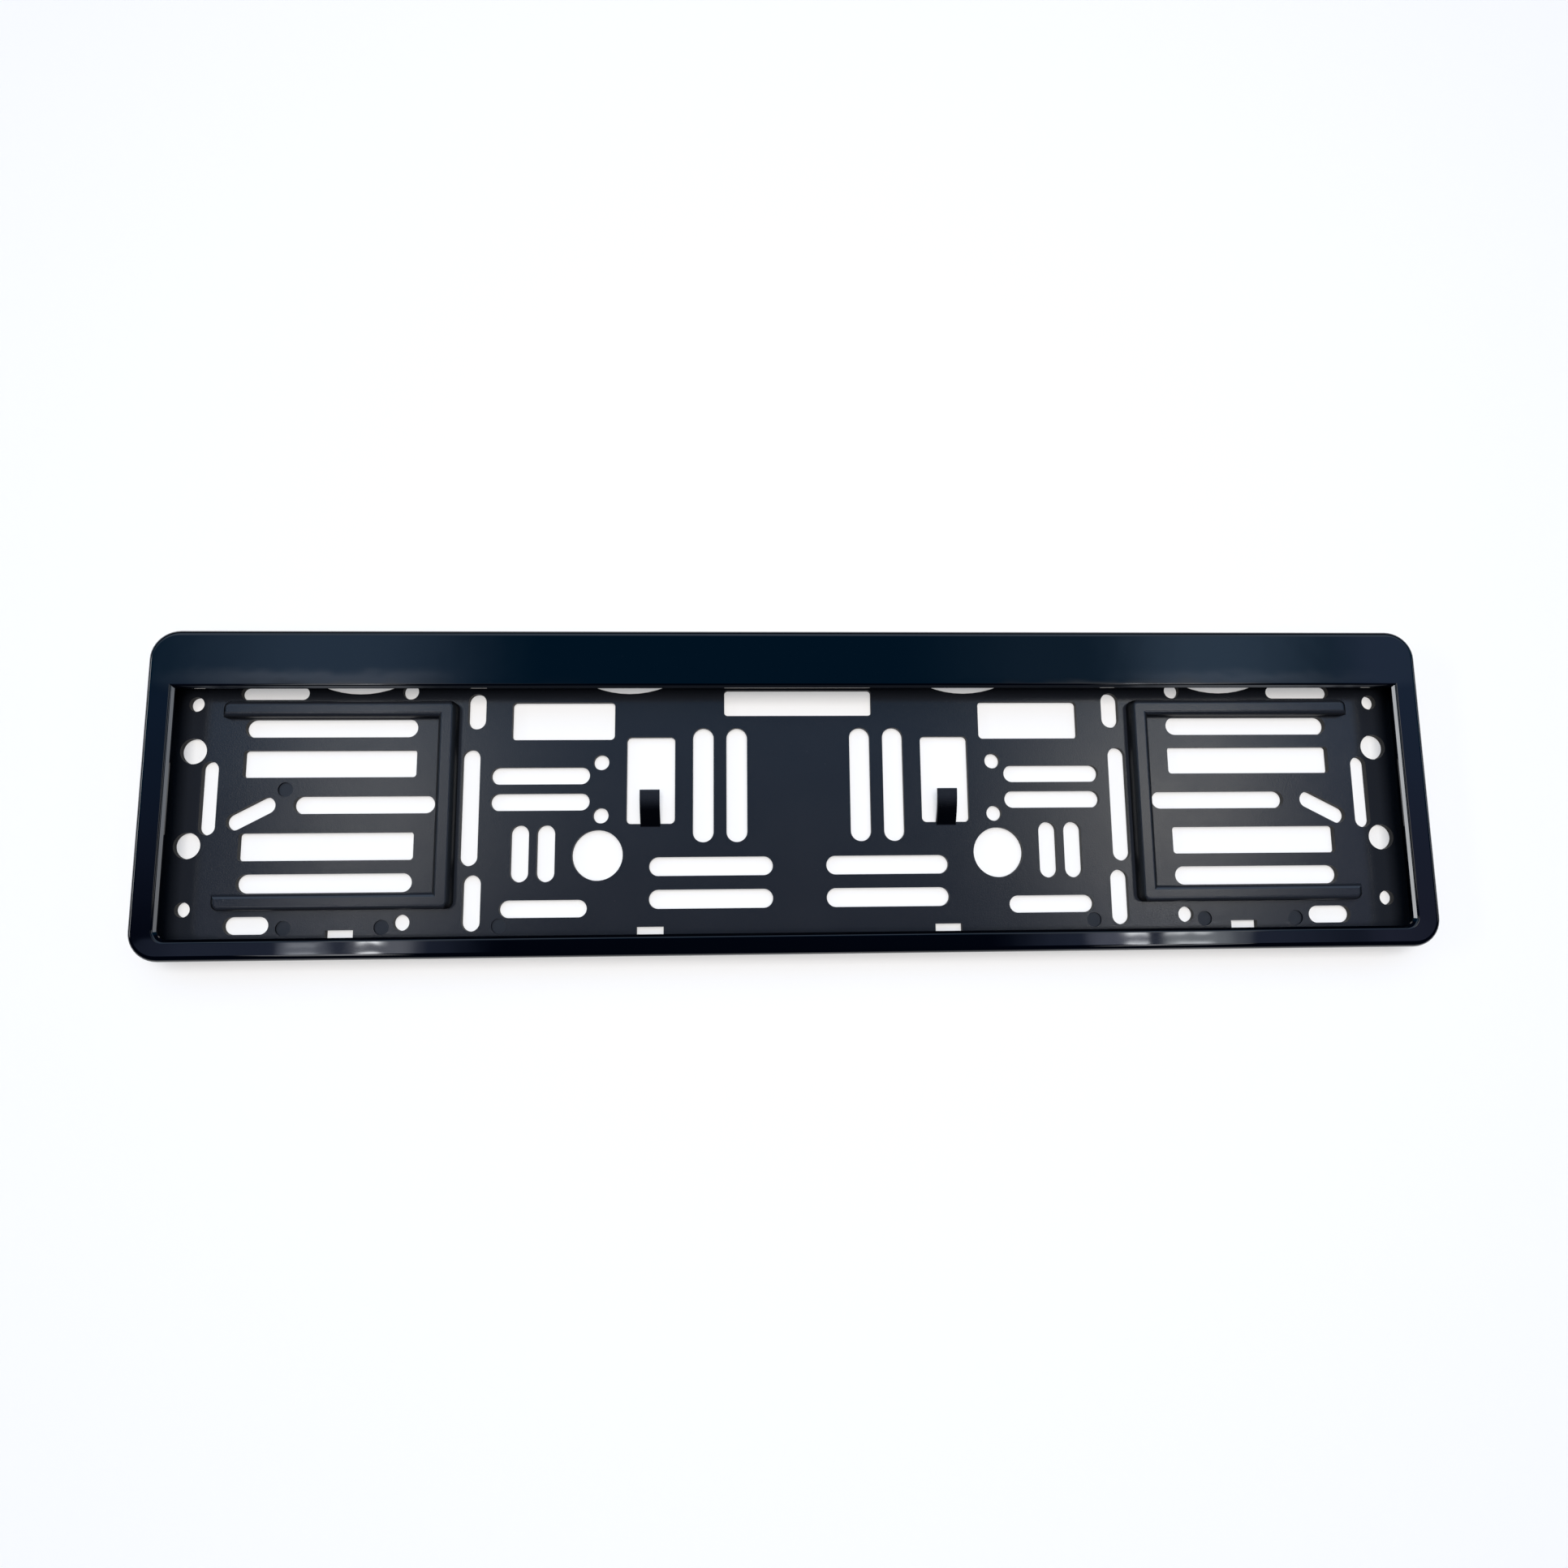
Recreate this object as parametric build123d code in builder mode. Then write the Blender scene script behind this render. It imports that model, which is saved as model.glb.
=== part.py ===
from build123d import *
import os

os.makedirs("parts", exist_ok=True)

# Number plate holder lying on its back: X along the plate, Y toward the wide
# strip, Z up through the front face. Sizes in millimetres.

# front frame
length = 530.0
height = 133.8
depth = 16.5
corner_r = 12.0
skirt_t = 2.2
lip_t = 2.0
side_rim = 11.1
low_rim = 8.7
strip_w = 24.3
opening_low_r = 3.8
opening_top_r = 1.2
bevel_w = 1.1
bevel_drop = 1.3
bevel_edge_r = 1.0
outer_edge_r = 2.4
hold_rib_in = 3.0
hold_rib_t = 1.8
hold_rib_drop = 2.8
rib_t = 1.6
rib_count = 7

# seat of the frame on the edge of the base plate
base_gap = 0.3
seat_w = 0.9

# snap noses of the frame, and the openings that make the plate's edge springy
low_clip_x = (62.4, 188.9)
top_clip_x = (71.8, 184.9)
nose_w = 10.0
nose_hold = 0.6
nose_gap = 0.1
nose_land = 0.35
ledge_t = 1.25
rebate_play = 0.6
edge_bar = 3.0
low_window = (11.2, 5.8)
bow_w = 31.0
bow_depth = 18.45
bow_r = 40.0

# base plate; the slot row lies a little above the middle of the opening
base_t = 2.5
row_above_middle = 3.8

# raised U ridges of the end panels, which carry the number plate
ridge_h = 5.0
ridge_x = 143.3
ridge_end_in = 23.5
ridge_half = 43.3
ridge_arm_w = 6.7
ridge_web_w = 7.6
ridge_corner_r = 3.0
ridge_edge_r = 2.0

# end panel openings: "in" is measured from the plate's end, "past" from the ridge
long_slot_w, long_slot_y = 7.8, 32.4
wide_slot_w, wide_slot_y = 11.5, 17.3
panel_slot_past, panel_slot_in = 17.1, 30.9
mid_slot_w, mid_slot_past, mid_slot_in = 7.4, 8.9, 52.3
tilted_slot, tilted_slot_in, tilted_slot_y, tilt = (21.4, 7.0), 35.2, -3.5, 28
column_in = 10.3
corner_hole_r, corner_hole_y = 3.1, 42.7
screw_hole_r, screw_hole_half, screw_hole_y = 5.45, 19.7, 3.1
side_slot, side_slot_in = (30.8, 6.8), 17.7
low_slot, low_slot_in, low_slot_y = (18.3, 7.2), 36.0, -49.4
top_slot, top_slot_in, top_slot_y = (28.2, 5.4), 42.3, 47.3
edge_hole_r, edge_hole_past, edge_hole_y = 3.3, 20.7, (48.0, -48.8)

# column of upright slots beside each end panel
upright_x, upright_mid_x, upright_w = 136.0, 137.8, 7.5
upright_top_l, upright_top_y = 15.2, 39.4
upright_mid_l, upright_mid_y = 48.9, -1.4
upright_low_l, upright_low_y = 23.1, -41.2

# openings of the inner fields
grip_window, grip_window_at, grip_window_r = (43.3, 16.2), (99.6, 35.2), 1.8
inner_hole_r, inner_hole_x, inner_hole_y = 3.25, 83.4, (17.4, -5.2)
level_slot, level_slot_x, level_slot_y = (41.3, 7.3), 108.8, (11.8, 0.7)
twin_slot, twin_slot_x, twin_slot_y = (23.7, 7.6), (116.8, 106.0), -20.9
large_hole_r, large_hole_at = 10.6, (84.6, -21.8)
foot_slot, foot_slot_at = (36.1, 7.2), (106.6, -43.8)

# openings of the centre field
tall_slot, tall_slot_x, tall_slot_y = (48.8, 8.8), (40.5, 26.3), 7.7
centre_slot, centre_slot_x, centre_slot_y = (51.9, 7.9), 37.2, (-26.7, -40.3)
centre_window, centre_window_y, centre_window_r = (63.2, 11.2), 42.9, 1.5
window_r = 1.4

# leaf tongues, whose tips stand as high as the ridges
tongue_window, tongue_window_at, tongue_window_r = (20.4, 37.0), (62.6, 9.7), 2.0
tongue_w = 8.2
tongue_t = 1.7
tongue_reach = 14.0
tongue_root = 1.5
tongue_slope = 0.65
tongue_tip_r = 0.6

# shallow marks of the ejector pins
pin_mark_r = 3.1
pin_mark_depth = 0.8
pin_mark_y = -50.6
pin_mark_x = (211.5, 172.0, 124.4)
lone_pin_mark_at = (-213.8, 6.5)

skirt_in = skirt_t + base_gap
wall_t = skirt_in + seat_w
base_l = length - 2 * skirt_in
base_h = height - 2 * skirt_in
end_x = base_l / 2
edge_y = base_h / 2
opening_l = length - 2 * side_rim
opening_h = height - low_rim - strip_w
opening_y = (low_rim - strip_w) / 2
row_y = opening_y + row_above_middle
lip_z = depth - lip_t
base_top = Plane.XY.offset(base_t)


def both_ends(x, y):
    return Locations((-x, row_y + y), (x, row_y + y))


def level_slots(x_near, x_far, y, width):
    with both_ends((x_near + x_far) / 2, y):
        SlotOverall(x_far - x_near, width)


def upright_slots(x, y, slot_length, width):
    with both_ends(x, y):
        SlotOverall(slot_length, width, rotation=90)


def round_holes(x, y, radius):
    with both_ends(x, y):
        Circle(radius)


def front_opening(grow):
    with BuildSketch(mode=Mode.PRIVATE) as outline:
        with Locations((0, opening_y)):
            Rectangle(opening_l + 2 * grow, opening_h + 2 * grow)
        corners = outline.vertices().group_by(Axis.Y)
        fillet(corners[0], opening_low_r + grow)
        fillet(corners[-1], opening_top_r + grow)
    return outline.sketch


with BuildPart() as base_plate:
    with BuildSketch():
        RectangleRounded(base_l, base_h, corner_r - skirt_in)
    extrude(amount=base_t)

    # U ridges, open toward the ends of the plate
    ridge_end = end_x - ridge_end_in
    ridge_l = ridge_end - ridge_x
    with BuildSketch(base_top):
        with both_ends(ridge_x + ridge_l / 2, 0):
            RectangleRounded(ridge_l, 2 * ridge_half, ridge_corner_r)
        with both_ends(ridge_x + ridge_l / 2 + ridge_web_w, 0):
            Rectangle(ridge_l, 2 * (ridge_half - ridge_arm_w), mode=Mode.SUBTRACT)
    extrude(amount=ridge_h)
    ridge_tops = base_plate.faces().filter_by(Axis.Z).group_by(Axis.Z)[-1]
    fillet(ridge_tops.edges(), ridge_edge_r)

    with BuildSketch(base_top):
        # end panels
        panel_near = ridge_x + panel_slot_past
        panel_far = end_x - panel_slot_in
        for half in (-1, 1):
            level_slots(panel_near, panel_far, half * long_slot_y, long_slot_w)
            with both_ends((panel_near + panel_far) / 2, half * wide_slot_y):
                RectangleRounded(panel_far - panel_near, wide_slot_w, window_r)
            round_holes(end_x - column_in, half * corner_hole_y, corner_hole_r)
            round_holes(end_x - column_in, screw_hole_y + half * screw_hole_half, screw_hole_r)
            with Locations((half * (end_x - tilted_slot_in), row_y + tilted_slot_y)):
                SlotOverall(*tilted_slot, rotation=-half * tilt)
        for y in edge_hole_y:
            round_holes(ridge_x + edge_hole_past, y, edge_hole_r)
        level_slots(ridge_x + mid_slot_past, end_x - mid_slot_in, 0, mid_slot_w)
        upright_slots(end_x - side_slot_in, screw_hole_y, *side_slot)
        with both_ends(end_x - low_slot_in, low_slot_y):
            SlotOverall(*low_slot)
        with both_ends(end_x - top_slot_in, top_slot_y):
            SlotOverall(*top_slot)

        # columns of upright slots
        upright_slots(upright_x, upright_top_y, upright_top_l, upright_w)
        upright_slots(upright_mid_x, upright_mid_y, upright_mid_l, upright_w)
        upright_slots(upright_x, upright_low_y, upright_low_l, upright_w)

        # inner fields
        with both_ends(*grip_window_at):
            RectangleRounded(*grip_window, grip_window_r)
        for y in inner_hole_y:
            round_holes(inner_hole_x, y, inner_hole_r)
        for y in level_slot_y:
            with both_ends(level_slot_x, y):
                SlotOverall(*level_slot)
        for x in twin_slot_x:
            upright_slots(x, twin_slot_y, *twin_slot)
        round_holes(*large_hole_at, large_hole_r)
        with both_ends(*foot_slot_at):
            SlotOverall(*foot_slot)

        # centre field
        for x in tall_slot_x:
            upright_slots(x, tall_slot_y, *tall_slot)
        for y in centre_slot_y:
            with both_ends(centre_slot_x, y):
                SlotOverall(*centre_slot)
        with Locations((0, row_y + centre_window_y)):
            RectangleRounded(*centre_window, centre_window_r)
        with both_ends(*tongue_window_at):
            RectangleRounded(*tongue_window, tongue_window_r)

        # windows behind the lower edge bars
        for x in low_clip_x:
            with Locations((-x, edge_bar - edge_y), (x, edge_bar - edge_y)):
                Rectangle(*low_window, align=(Align.CENTER, Align.MIN))
    extrude(amount=-base_t, mode=Mode.SUBTRACT)

    # bow-shaped openings behind the upper edge bars
    bow_sag = bow_r - (bow_r**2 - bow_w**2 / 4) ** 0.5
    bow_side = bow_sag - bow_depth
    with BuildSketch(mode=Mode.PRIVATE) as bow:
        with BuildLine():
            bow_front = RadiusArc((bow_w / 2, bow_side), (-bow_w / 2, bow_side), bow_r)
            Polyline(bow_front @ 1, (-bow_w / 2, 0), (bow_w / 2, 0), bow_front @ 0)
        make_face()
    bow_back = edge_y - edge_bar
    with BuildSketch(base_top):
        for x in top_clip_x:
            with Locations((-x, bow_back), (x, bow_back)):
                add(bow.sketch)
    extrude(amount=-base_t, mode=Mode.SUBTRACT)

    # rebates under the edge bars, so that the noses stay inside the flat back
    rebate_w = nose_w + 2 * rebate_play
    rebate_in = nose_hold + rebate_play
    with BuildSketch():
        for side, clips in ((-1, low_clip_x), (1, top_clip_x)):
            for x in clips:
                with Locations((-x, side * edge_y), (x, side * edge_y)):
                    Rectangle(rebate_w, 2 * rebate_in)
    extrude(amount=ledge_t, mode=Mode.SUBTRACT)

    # leaf tongues, steep at the root and level at the tip
    root_y = row_y + tongue_window_at[1] - tongue_window[1] / 2
    tip_y = root_y + tongue_reach
    tip_z = base_t + ridge_h
    for side in (-1, 1):
        with BuildSketch(Plane.YZ.offset(side * tongue_window_at[0])) as tongue:
            with BuildLine():
                under = Spline(
                    (root_y, base_t - tongue_t),
                    (tip_y, tip_z - tongue_t),
                    tangents=((1, tongue_slope), (1, 0)),
                )
                tip = Line(under @ 1, (tip_y, tip_z))
                upper = Spline(
                    tip @ 1,
                    (root_y - tongue_root, base_t),
                    tangents=((-1, 0), (-1, -tongue_slope)),
                )
                Polyline(upper @ 1, (root_y - tongue_root, base_t - tongue_t), under @ 0)
            make_face()
            fillet(tongue.vertices().group_by(Axis.X)[-1].sort_by(Axis.Y)[-1], tongue_tip_r)
        extrude(amount=tongue_w / 2, both=True)

    with BuildSketch(base_top):
        for x in pin_mark_x:
            round_holes(x, pin_mark_y, pin_mark_r)
        with Locations((lone_pin_mark_at[0], row_y + lone_pin_mark_at[1])):
            Circle(pin_mark_r)
    extrude(amount=-pin_mark_depth, mode=Mode.SUBTRACT)
base_plate.part.label = "base_plate"
export_step(base_plate.part, "parts/base_plate.step")


with BuildPart() as front_frame:
    with BuildSketch():
        RectangleRounded(length, height, corner_r)
    extrude(amount=depth)

    # pocket for the base plate, and the deeper pocket above its seat
    with BuildSketch():
        RectangleRounded(length - 2 * skirt_t, height - 2 * skirt_t, corner_r - skirt_t)
    extrude(amount=base_t, mode=Mode.SUBTRACT)
    with BuildSketch(base_top):
        RectangleRounded(length - 2 * wall_t, height - 2 * wall_t, corner_r - wall_t)
    extrude(amount=lip_z - base_t, mode=Mode.SUBTRACT)

    # holding rib under the lip, set back from its edge, and cross ribs behind the strip
    with BuildSketch(Plane.XY.offset(lip_z)):
        add(front_opening(hold_rib_in + hold_rib_t))
        add(front_opening(hold_rib_in), mode=Mode.SUBTRACT)
        for step in range(rib_count):
            rib_x = opening_l * ((step + 1) / (rib_count + 1) - 0.5)
            with Locations((rib_x, height / 2 - wall_t)):
                Rectangle(rib_t, strip_w - wall_t - hold_rib_in, align=(Align.CENTER, Align.MAX))
    extrude(amount=-hold_rib_drop)
    with BuildSketch(Plane.XY.offset(depth)):
        add(front_opening(0))
    extrude(amount=-lip_t, mode=Mode.SUBTRACT)

    # bevel round the opening, and soft edges of the front face
    front = front_frame.faces().sort_by(Axis.Z)[-1]
    chamfer(front.inner_wires()[0].edges(), bevel_w, bevel_drop, reference=front)
    front = front_frame.faces().sort_by(Axis.Z)[-1]
    fillet(front.inner_wires()[0].edges(), bevel_edge_r)
    front = front_frame.faces().sort_by(Axis.Z)[-1]
    fillet(front.outer_wire().edges(), outer_edge_r)

    # wedge noses that snap under the edge of the base plate
    nose_z = ledge_t - nose_gap
    for side, clips in ((-1, low_clip_x), (1, top_clip_x)):
        skirt_y = side * (height / 2 - skirt_t)
        root = skirt_y + side * skirt_t / 2
        reach = skirt_y - side * (base_gap + nose_hold)
        for x in clips:
            for nose_x in (-x, x):
                with BuildSketch(Plane.YZ.offset(nose_x)):
                    with BuildLine():
                        Polyline(
                            (root, 0),
                            (skirt_y, 0),
                            (reach, nose_z - nose_land),
                            (reach, nose_z),
                            (root, nose_z),
                            close=True,
                        )
                    make_face()
                extrude(amount=nose_w / 2, both=True)
front_frame.part.label = "front_frame"
export_step(front_frame.part, "parts/front_frame.step")
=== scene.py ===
import math

import bpy
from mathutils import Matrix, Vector

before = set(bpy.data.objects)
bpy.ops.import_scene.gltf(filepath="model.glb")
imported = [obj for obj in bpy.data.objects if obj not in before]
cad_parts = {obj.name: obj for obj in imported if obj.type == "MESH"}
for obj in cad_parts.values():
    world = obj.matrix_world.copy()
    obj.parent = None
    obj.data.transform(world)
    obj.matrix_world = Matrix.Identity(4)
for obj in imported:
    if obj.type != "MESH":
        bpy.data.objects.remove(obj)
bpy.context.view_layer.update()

# The holder lies on its back on a white table, photographed from just above its lower edge.
# Lengths are in metres, in the frame of the CAD model.

# camera, as fitted to the slots and edges of the photograph
image_side_px = 1932
focal_px = 1128.2
sensor_mm = 36.0
camera_place = (-0.02177, -0.04623, 0.38817)
camera_turn_deg = (7.41, -2.23, -0.584)
camera_clip = (0.01, 20.0)

# soft light overhead, for the matte surfaces and the shadow on the table
fill_place = (0.0, 0.09, 1.50)
fill_aim = (0.0, 0.0, 0.0)
fill_size = (0.7, 0.8)
fill_watts = 18.9
fill_colour = (1.0, 0.948, 0.892)

# white table, with the share of plain white in it where the camera sees it, which grows between the
# two distances of table_far, and where it is mirrored
table_side = 6.0
table_drop = 0.0002
table_white = (0.95, 0.95, 0.95, 1.0)
table_glow = 0.35
table_glow_far = 0.985
table_far = (0.50, 1.30)
table_glow_mirrored = 0.20

# dark room seen in the polished faces, by the slope of the way there, with soft windows and lamps;
# each has the slopes at which it starts, is full, is still full and ends, along x and along y, and
# its brightness
room_dark = (0.0, 0.006, 0.030)
room_white = (0.95, 0.95, 0.95, 1.0)
horizon = 0.05
lamp_y = (-0.015, 0.02, 0.225, 0.247)
strip_y = (0.235, 0.25, 0.33, 0.50)
strip_edge_y = (0.225, 0.24, 0.25, 0.262)
low_y = (-0.060, -0.055, -0.033, -0.028)
left_top_y = (-0.0430, -0.0398, -0.0368, -0.0335)
bottom_y = (-0.0590, -0.0550, -0.0505, -0.0470)
right_inner_top_y = (-0.0395, -0.0355, -0.0310, -0.0270)
right_inner_bottom_y = (-0.0580, -0.0540, -0.0465, -0.0430)
right_outer_top_y = (-0.0405, -0.0365, -0.0315, -0.0275)
edge_y = (-0.70, -0.55, -0.28, -0.20)
side_y = (-0.25, -0.12, 0.50, 0.65)
front_y = (-30.0, -20.0, -11.0, -7.0)
room_windows = {
    "far_blue": ((-6.0, -4.0, 4.0, 6.0), (-0.06, 0.28, 1.2, 2.2), (0.0, 0.12, 0.27)),
    "back_wall": ((-1.60, -0.80, 0.80, 1.60), (0.34, 0.50, 1.20, 2.00), (0.70, 0.80, 0.95)),
    "left_lamp": ((-0.485, -0.455, -0.42, -0.28), lamp_y, (2.15, 2.08, 1.94)),
    "left_glow": ((-0.53, -0.45, -0.28, -0.13), lamp_y, (0.42, 0.42, 0.42)),
    "right_lamp": ((0.22, 0.51, 0.55, 0.59), lamp_y, (3.00, 2.88, 2.66)),
    "left_sky": ((-0.72, -0.47, -0.43, -0.22), strip_y, (0.40, 0.55, 0.80)),
    "right_sky": ((0.38, 0.51, 0.54, 0.72), strip_y, (0.42, 0.60, 0.85)),
    "right_sky_glow": ((0.15, 0.34, 0.72, 0.95), strip_y, (0.10, 0.13, 0.17)),
    "left_sky_edge": ((-0.66, -0.50, -0.40, -0.30), strip_edge_y, (0.60, 0.60, 0.65)),
    "right_sky_edge": ((0.40, 0.52, 0.56, 0.75), strip_edge_y, (0.40, 0.40, 0.45)),
    "left_outer_spot": ((-0.505, -0.487, -0.462, -0.428), low_y, (1.55, 1.65, 1.9)),
    "left_inner_spot": ((-0.435, -0.405, -0.375, -0.335), low_y, (1.8, 1.85, 2.0)),
    "right_inner_spot": ((0.36, 0.39, 0.428, 0.440), low_y, (1.1, 1.15, 1.4)),
    "right_outer_spot": ((0.447, 0.468, 0.507, 0.565), low_y, (2.9, 3.1, 3.2)),
    "left_outer_top_glint": ((-0.495, -0.478, -0.460, -0.445), left_top_y, (2.4, 2.5, 2.6)),
    "left_outer_bottom_glint": ((-0.495, -0.478, -0.460, -0.425), bottom_y, (5.2, 5.4, 5.6)),
    "left_inner_top_glint": ((-0.418, -0.406, -0.398, -0.384), left_top_y, (20.0, 20.4, 20.8)),
    "left_inner_bottom_glint": ((-0.420, -0.406, -0.400, -0.384), bottom_y, (18.0, 18.4, 18.8)),
    "right_inner_top_glint": ((0.405, 0.420, 0.428, 0.438), right_inner_top_y, (18.0, 18.4, 18.8)),
    "right_inner_bottom_glint": ((0.408, 0.421, 0.428, 0.438), right_inner_bottom_y, (16.0, 16.4, 16.8)),
    "right_outer_top_glint": ((0.452, 0.463, 0.490, 0.520), right_outer_top_y, (9.0, 9.2, 9.4)),
    "right_outer_bottom_glint": ((0.455, 0.475, 0.500, 0.520), bottom_y, (7.0, 7.2, 7.4)),
    "left_low_glow": ((-0.70, -0.58, -0.36, -0.26), low_y, (0.28, 0.35, 0.58)),
    "right_low_glow": ((0.26, 0.36, 0.56, 0.78), low_y, (0.28, 0.35, 0.58)),
    "left_edge_lamp": ((-0.475, -0.465, -0.425, -0.415), edge_y, (5.0, 5.1, 5.4)),
    "left_edge_glow": ((-0.56, -0.54, -0.48, -0.47), edge_y, (2.5, 2.6, 2.8)),
    "right_edge_lamp": ((0.44, 0.45, 0.485, 0.495), edge_y, (5.0, 5.1, 5.4)),
    "right_edge_glow": ((0.50, 0.51, 0.565, 0.58), edge_y, (2.5, 2.6, 2.8)),
    "left_side_lamp": ((-2.25, -2.10, -1.83, -1.70), side_y, (9.5, 9.7, 10.0)),
    "right_side_lamp": ((2.05, 2.25, 2.60, 2.80), side_y, (3.2, 3.3, 3.5)),
    "left_wall": ((-0.70, -0.66, -0.62, -0.59), (-0.08, 0.10, 0.22, 0.26), (0.09, 0.09, 0.17)),
    "right_wall": ((0.66, 0.72, 0.79, 0.85), (-0.15, -0.06, 0.33, 0.50), (0.20, 0.22, 0.38)),
    "left_front": ((-8.5, -7.0, -5.7, -4.7), front_y, (0.90, 0.95, 1.05)),
    "right_front": ((5.6, 7.2, 8.6, 10.5), front_y, (1.05, 1.10, 1.20)),
    "low_front": ((-12.0, -8.0, 8.0, 12.0), front_y, (0.15, 0.17, 0.20)),
}

# grained plastic of the base plate: dull on its walls and on the sunk floors of the pin marks, with
# painted shade (a near-black colour) where it looks sideways and at the roots of the leaf tongues
base_colour = (0.0152, 0.0178, 0.0238, 1.0)
base_dusty = (0.022, 0.024, 0.030, 1.0)
base_roughness = (0.13, 0.17)
base_smudge_size = 0.03
grain_size = 0.00045
grain_depth = 0.00003
wall_roughness = 0.65
recess_z = (0.0012, 0.0022)
upward = (0.25, 0.60)
sideways = (0.12, 0.35)
# painted shade: the near-black colour laid where the base plate looks sideways and on the tongue roots
painted_shade_colour = (0.0010, 0.0011, 0.0014, 1.0)
# where the painted shade lies at the roots of the leaf tongues
tongue_x = (0.0580, 0.0672)
tongue_y = (-0.0010, -0.0075)
tongue_z = (0.0026, 0.0028)
tongue_edge = 0.0002

# polished plastic of the front frame
frame_colour = (0.0006, 0.0010, 0.0022, 1.0)
frame_dusty = (0.004, 0.005, 0.008, 1.0)
frame_roughness = (0.015, 0.04)
frame_smudge_size = 0.05
ripple_size = 0.025
ripple_depth = 0.00006

# both plastics
plastic_ior = 1.5
smudge_detail = 5.0
smudge_fineness = 0.6
smudge_range = (0.36, 0.68)
dust_per_metre = 260.0
dust_edge = (0.10, 0.05)
dust_rarity = 0.93
relief_detail = 2.0


def photo_camera():
    data = bpy.data.cameras.new("photo_camera")
    data.sensor_width = sensor_mm
    data.lens = sensor_mm * focal_px / image_side_px
    data.clip_start, data.clip_end = camera_clip
    camera = bpy.data.objects.new("photo_camera", data)
    camera.location = camera_place
    camera.rotation_euler = [math.radians(turn) for turn in camera_turn_deg]
    bpy.context.collection.objects.link(camera)
    bpy.context.scene.camera = camera


def overhead_light():
    """Soft light that is left out of the reflections."""
    data = bpy.data.lights.new("overhead_light", "AREA")
    data.shape = "RECTANGLE"
    data.size, data.size_y = fill_size
    data.energy = fill_watts
    data.color = fill_colour
    lamp = bpy.data.objects.new("overhead_light", data)
    lamp.location = fill_place
    direction = Vector(fill_aim) - Vector(fill_place)
    lamp.rotation_euler = direction.to_track_quat("-Z", "Y").to_euler()
    lamp.visible_glossy = False
    bpy.context.collection.objects.link(lamp)


def node_of(tree, kind, **settings):
    """New node of a kind, with its settings."""
    node = tree.nodes.new(kind)
    for name, value in settings.items():
        setattr(node, name, value)
    return node


def way_slope(tree):
    """How far a way runs along x and along y for each metre that it rises."""
    link = tree.links.new
    way = node_of(tree, "ShaderNodeTexCoord")
    split = node_of(tree, "ShaderNodeSeparateXYZ")
    link(way.outputs["Generated"], split.inputs[0])
    rise = node_of(tree, "ShaderNodeMath", operation="MAXIMUM")
    rise.inputs[1].default_value = horizon
    link(split.outputs["Z"], rise.inputs[0])
    slopes = []
    for axis in "XY":
        slope = node_of(tree, "ShaderNodeMath", operation="DIVIDE")
        link(split.outputs[axis], slope.inputs[0])
        link(rise.outputs[0], slope.inputs[1])
        slopes.append(slope.outputs[0])
    return slopes


def soft_step(tree, value, start, full):
    """Mask that goes smoothly from 0 at start to 1 at full."""
    step = node_of(tree, "ShaderNodeMapRange", interpolation_type="SMOOTHSTEP")
    step.inputs["From Min"].default_value = start
    step.inputs["From Max"].default_value = full
    tree.links.new(value, step.inputs["Value"])
    return step.outputs["Result"]


def all_of(tree, steps):
    """Product of soft steps, each with its value, where it starts and where it is full."""
    mask = None
    for value, start, full in steps:
        step = soft_step(tree, value, start, full)
        if mask is None:
            mask = step
            continue
        both = node_of(tree, "ShaderNodeMath", operation="MULTIPLY")
        tree.links.new(mask, both.inputs[0])
        tree.links.new(step, both.inputs[1])
        mask = both.outputs[0]
    return mask


def soft_window(tree, slopes, edges):
    """Mask of a window that fades in and out along x and along y."""
    steps = []
    for slope, (start, full, still_full, end) in zip(slopes, edges):
        steps += [(slope, start, full), (slope, end, still_full)]
    return all_of(tree, steps)


def dark_room():
    world = bpy.data.worlds.new("dark_room")
    bpy.context.scene.world = world
    world.use_nodes = True
    tree = world.node_tree
    link = tree.links.new
    background = tree.nodes["Background"]
    slopes = way_slope(tree)
    room = None
    for along_x, along_y, brightness in room_windows.values():
        lit = node_of(tree, "ShaderNodeVectorMath", operation="SCALE")
        lit.inputs[0].default_value = brightness
        link(soft_window(tree, slopes, (along_x, along_y)), lit.inputs["Scale"])
        added = node_of(tree, "ShaderNodeVectorMath", operation="ADD")
        added.inputs[0].default_value = room_dark
        if room is not None:
            link(room, added.inputs[0])
        link(lit.outputs[0], added.inputs[1])
        room = added.outputs[0]
    path = node_of(tree, "ShaderNodeLightPath")
    shown = node_of(tree, "ShaderNodeMix", data_type="RGBA")
    shown.inputs["B"].default_value = room_white
    link(path.outputs["Is Camera Ray"], shown.inputs["Factor"])
    link(room, shown.inputs["A"])
    link(shown.outputs["Result"], background.inputs["Color"])


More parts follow.
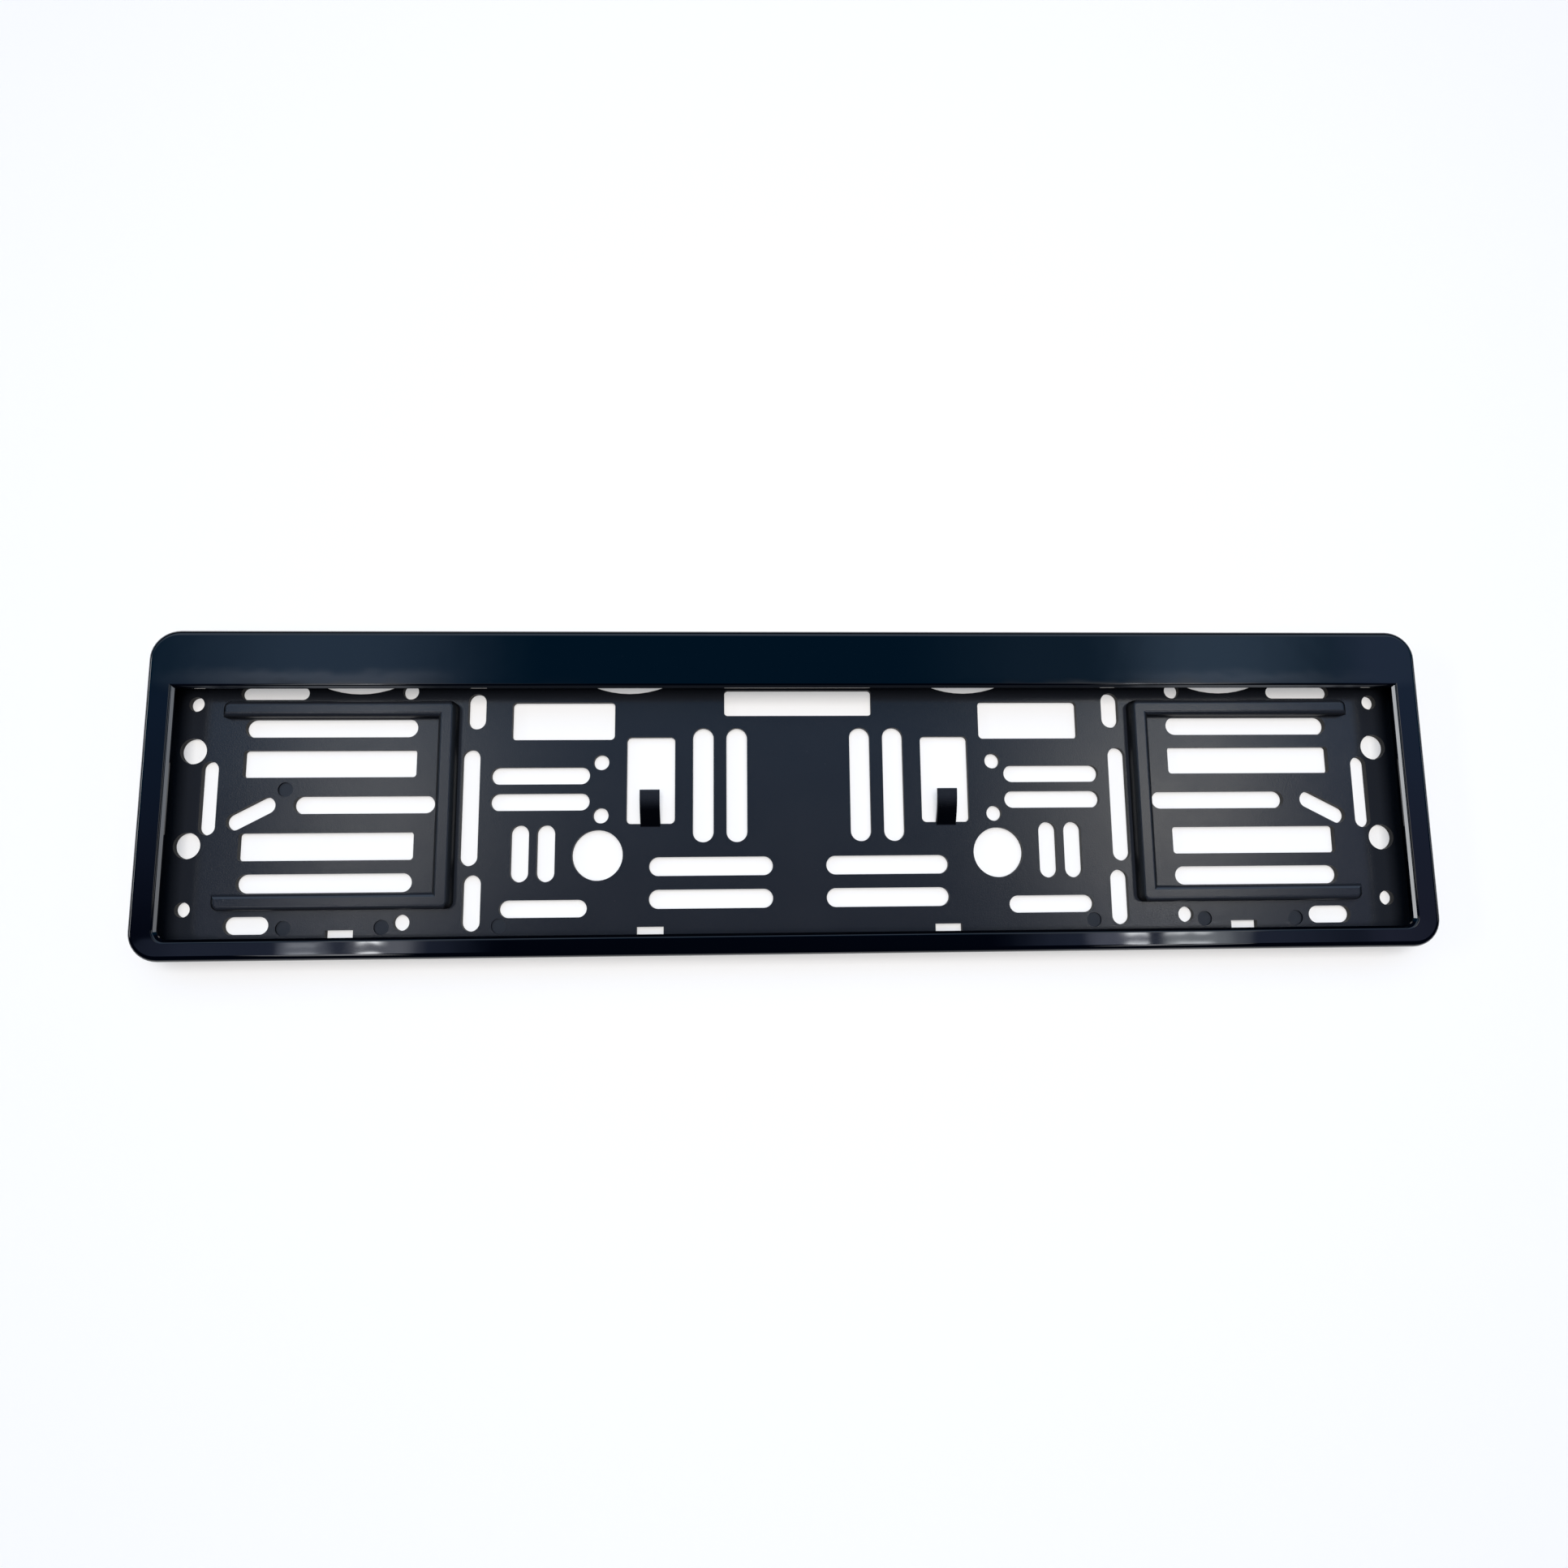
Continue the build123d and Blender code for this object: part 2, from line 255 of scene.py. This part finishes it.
def white_table():
    bpy.ops.mesh.primitive_plane_add(size=table_side, location=(0.0, 0.0, -table_drop))
    table = bpy.context.object
    table.name = "white_table"
    material = bpy.data.materials.new("white_table")
    material.use_nodes = True
    tree = material.node_tree
    link = tree.links.new
    tree.nodes.clear()
    paint = node_of(tree, "ShaderNodeBsdfDiffuse")
    paint.inputs["Color"].default_value = table_white
    glow = node_of(tree, "ShaderNodeEmission")
    glow.inputs["Strength"].default_value = 1.0
    path = node_of(tree, "ShaderNodeLightPath")
    mirrored = node_of(tree, "ShaderNodeMath", operation="MAXIMUM")
    link(path.outputs["Is Glossy Ray"], mirrored.inputs[0])
    link(path.outputs["Is Transmission Ray"], mirrored.inputs[1])
    faint = node_of(tree, "ShaderNodeMath", operation="MULTIPLY")
    faint.inputs[1].default_value = table_glow_mirrored
    link(mirrored.outputs[0], faint.inputs[0])
    where = node_of(tree, "ShaderNodeNewGeometry")
    away = node_of(tree, "ShaderNodeVectorMath", operation="LENGTH")
    link(where.outputs["Position"], away.inputs[0])
    whiter = node_of(tree, "ShaderNodeMapRange")
    whiter.inputs["From Min"].default_value, whiter.inputs["From Max"].default_value = table_far
    whiter.inputs["To Min"].default_value = table_glow
    whiter.inputs["To Max"].default_value = table_glow_far
    link(away.outputs["Value"], whiter.inputs["Value"])
    seen = node_of(tree, "ShaderNodeMath", operation="MULTIPLY_ADD")
    link(path.outputs["Is Camera Ray"], seen.inputs[0])
    link(whiter.outputs["Result"], seen.inputs[1])
    link(faint.outputs[0], seen.inputs[2])
    mixed = node_of(tree, "ShaderNodeMixShader")
    link(seen.outputs[0], mixed.inputs["Fac"])
    link(paint.outputs[0], mixed.inputs[1])
    link(glow.outputs[0], mixed.inputs[2])
    out = node_of(tree, "ShaderNodeOutputMaterial")
    link(mixed.outputs[0], out.inputs["Surface"])
    table.data.materials.append(material)


def per_metre(tree, size):
    """How many of a size go into a metre."""
    count = node_of(tree, "ShaderNodeMath", operation="DIVIDE")
    count.inputs[0].default_value = 1.0
    tree.links.new(size, count.inputs[1])
    return count.outputs[0]


def handling_marks_group():
    """Soft cloudy smudges and sparse specks of dust, as masks from 0 to 1."""
    tree = bpy.data.node_groups.new("handling_marks", "ShaderNodeTree")
    tree.interface.new_socket("Smudge Size", in_out="INPUT", socket_type="NodeSocketFloat")
    tree.interface.new_socket("Smudge", in_out="OUTPUT", socket_type="NodeSocketFloat")
    tree.interface.new_socket("Dust", in_out="OUTPUT", socket_type="NodeSocketFloat")
    link = tree.links.new
    given = node_of(tree, "NodeGroupInput")
    where = node_of(tree, "ShaderNodeTexCoord")
    clouds = node_of(tree, "ShaderNodeTexNoise")
    clouds.inputs["Detail"].default_value = smudge_detail
    clouds.inputs["Roughness"].default_value = smudge_fineness
    link(where.outputs["Object"], clouds.inputs["Vector"])
    link(per_metre(tree, given.outputs["Smudge Size"]), clouds.inputs["Scale"])
    smudge = soft_step(tree, clouds.outputs["Fac"], *smudge_range)
    specks = node_of(tree, "ShaderNodeTexVoronoi")
    specks.inputs["Scale"].default_value = dust_per_metre
    link(where.outputs["Object"], specks.inputs["Vector"])
    small = node_of(tree, "ShaderNodeMapRange")
    small.inputs["From Min"].default_value, small.inputs["From Max"].default_value = dust_edge
    link(specks.outputs["Distance"], small.inputs["Value"])
    pick = node_of(tree, "ShaderNodeSeparateColor")
    link(specks.outputs["Color"], pick.inputs[0])
    few = node_of(tree, "ShaderNodeMath", operation="GREATER_THAN")
    few.inputs[1].default_value = dust_rarity
    link(pick.outputs[0], few.inputs[0])
    dust = node_of(tree, "ShaderNodeMath", operation="MULTIPLY")
    link(small.outputs["Result"], dust.inputs[0])
    link(few.outputs[0], dust.inputs[1])
    out = node_of(tree, "NodeGroupOutput")
    link(smudge, out.inputs["Smudge"])
    link(dust.outputs[0], out.inputs["Dust"])
    return tree


def surface_relief_group():
    """Height, from 0 to 1, of a fine relief whose size is given in metres."""
    tree = bpy.data.node_groups.new("surface_relief", "ShaderNodeTree")
    tree.interface.new_socket("Size", in_out="INPUT", socket_type="NodeSocketFloat")
    tree.interface.new_socket("Height", in_out="OUTPUT", socket_type="NodeSocketFloat")
    link = tree.links.new
    given = node_of(tree, "NodeGroupInput")
    where = node_of(tree, "ShaderNodeTexCoord")
    bumps = node_of(tree, "ShaderNodeTexNoise")
    bumps.inputs["Detail"].default_value = relief_detail
    link(where.outputs["Object"], bumps.inputs["Vector"])
    link(per_metre(tree, given.outputs["Size"]), bumps.inputs["Scale"])
    out = node_of(tree, "NodeGroupOutput")
    link(bumps.outputs["Fac"], out.inputs["Height"])
    return tree


def axis_parts(tree, kind, output):
    """X, Y and Z of the vector that a new node puts out."""
    source = node_of(tree, kind)
    parts = node_of(tree, "ShaderNodeSeparateXYZ")
    tree.links.new(source.outputs[output], parts.inputs[0])
    return parts.outputs


def size_of(tree, value):
    """A value without its sign."""
    size = node_of(tree, "ShaderNodeMath", operation="ABSOLUTE")
    tree.links.new(value, size.inputs[0])
    return size.outputs[0]


def side_slope_painted_shade(tree):
    """Mask of the painted shade on the walls and rounded edges that look sideways."""
    facing = axis_parts(tree, "ShaderNodeNewGeometry", "Normal")
    return soft_step(tree, size_of(tree, facing["X"]), *sideways)


def open_faces(tree):
    """Mask of the faces that look up, without the sunk floors of the pin marks."""
    facing = axis_parts(tree, "ShaderNodeNewGeometry", "Normal")
    place = axis_parts(tree, "ShaderNodeTexCoord", "Object")
    straight, sloping = sideways
    return all_of(tree, (
        (facing["Z"], *upward),
        (size_of(tree, facing["X"]), sloping, straight),
        (place["Z"], *recess_z),
    ))


def tongue_root_painted_shade(tree):
    """Mask of the painted shade on the smooth roots of the two leaf tongues, fading towards their tips.
    """
    place = axis_parts(tree, "ShaderNodeTexCoord", "Object")
    from_middle = size_of(tree, place["X"])
    inner, outer = tongue_x
    return all_of(tree, (
        (from_middle, inner, inner + tongue_edge),
        (from_middle, outer, outer - tongue_edge),
        (place["Y"], *tongue_y),
        (place["Z"], *tongue_z),
    ))


def mixed_in(tree, mask, colour, other):
    """Colour that turns into another one where the mask is 1."""
    mix = node_of(tree, "ShaderNodeMix", data_type="RGBA")
    mix.inputs["B"].default_value = other
    tree.links.new(mask, mix.inputs["Factor"])
    tree.links.new(colour, mix.inputs["A"])
    return mix.outputs["Result"]


def moulded_plastic(name, colour, dusty, roughness, smudge_size, relief_size, relief_depth):
    """Plastic with smudges, dust and a fine relief."""
    material = bpy.data.materials.new(name)
    material.use_nodes = True
    tree = material.node_tree
    link = tree.links.new
    plastic = tree.nodes["Principled BSDF"]
    plastic.inputs["IOR"].default_value = plastic_ior
    marks = node_of(tree, "ShaderNodeGroup", node_tree=handling_marks)
    marks.inputs["Smudge Size"].default_value = smudge_size
    relief = node_of(tree, "ShaderNodeGroup", node_tree=surface_relief)
    relief.inputs["Size"].default_value = relief_size

    tint = node_of(tree, "ShaderNodeMix", data_type="RGBA")
    tint.inputs["A"].default_value = colour
    tint.inputs["B"].default_value = dusty
    link(marks.outputs["Dust"], tint.inputs["Factor"])
    link(tint.outputs["Result"], plastic.inputs["Base Color"])

    gloss = node_of(tree, "ShaderNodeMapRange")
    gloss.inputs["To Min"].default_value, gloss.inputs["To Max"].default_value = roughness
    link(marks.outputs["Smudge"], gloss.inputs["Value"])
    link(gloss.outputs["Result"], plastic.inputs["Roughness"])

    bump = node_of(tree, "ShaderNodeBump")
    bump.inputs["Distance"].default_value = relief_depth
    link(relief.outputs["Height"], bump.inputs["Height"])
    link(bump.outputs["Normal"], plastic.inputs["Normal"])
    return material


def grained_plastic():
    """Base plate: a sheen on the open faces, dull walls and pin marks, and painted shade on slopes."""
    material = moulded_plastic(
        "grained_plastic", base_colour, base_dusty, base_roughness, base_smudge_size, grain_size,
        grain_depth)
    tree = material.node_tree
    plastic = tree.nodes["Principled BSDF"]
    tint = plastic.inputs["Base Color"].links[0].from_socket
    gloss = plastic.inputs["Roughness"].links[0].from_socket
    # painted shade: darken the colour on the tongue roots and on the faces that look sideways
    for mask in (tongue_root_painted_shade(tree), side_slope_painted_shade(tree)):
        tint = mixed_in(tree, mask, tint, painted_shade_colour)
    tree.links.new(tint, plastic.inputs["Base Color"])
    finish = node_of(tree, "ShaderNodeMix")
    finish.inputs["A"].default_value = wall_roughness
    tree.links.new(open_faces(tree), finish.inputs["Factor"])
    tree.links.new(gloss, finish.inputs["B"])
    tree.links.new(finish.outputs["Result"], plastic.inputs["Roughness"])
    return material


def polished_plastic():
    """Front frame: glossy, with a hardly seen ripple."""
    return moulded_plastic(
        "polished_plastic", frame_colour, frame_dusty, frame_roughness, frame_smudge_size, ripple_size,
        ripple_depth)


def dress(node, material):
    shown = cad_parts[node]
    shown.data.materials.clear()
    shown.data.materials.append(material)


bpy.context.scene.view_settings.view_transform = "Standard"
photo_camera()
dark_room()
overhead_light()
white_table()

handling_marks = handling_marks_group()
surface_relief = surface_relief_group()
dress("base_plate", grained_plastic())
dress("front_frame", polished_plastic())
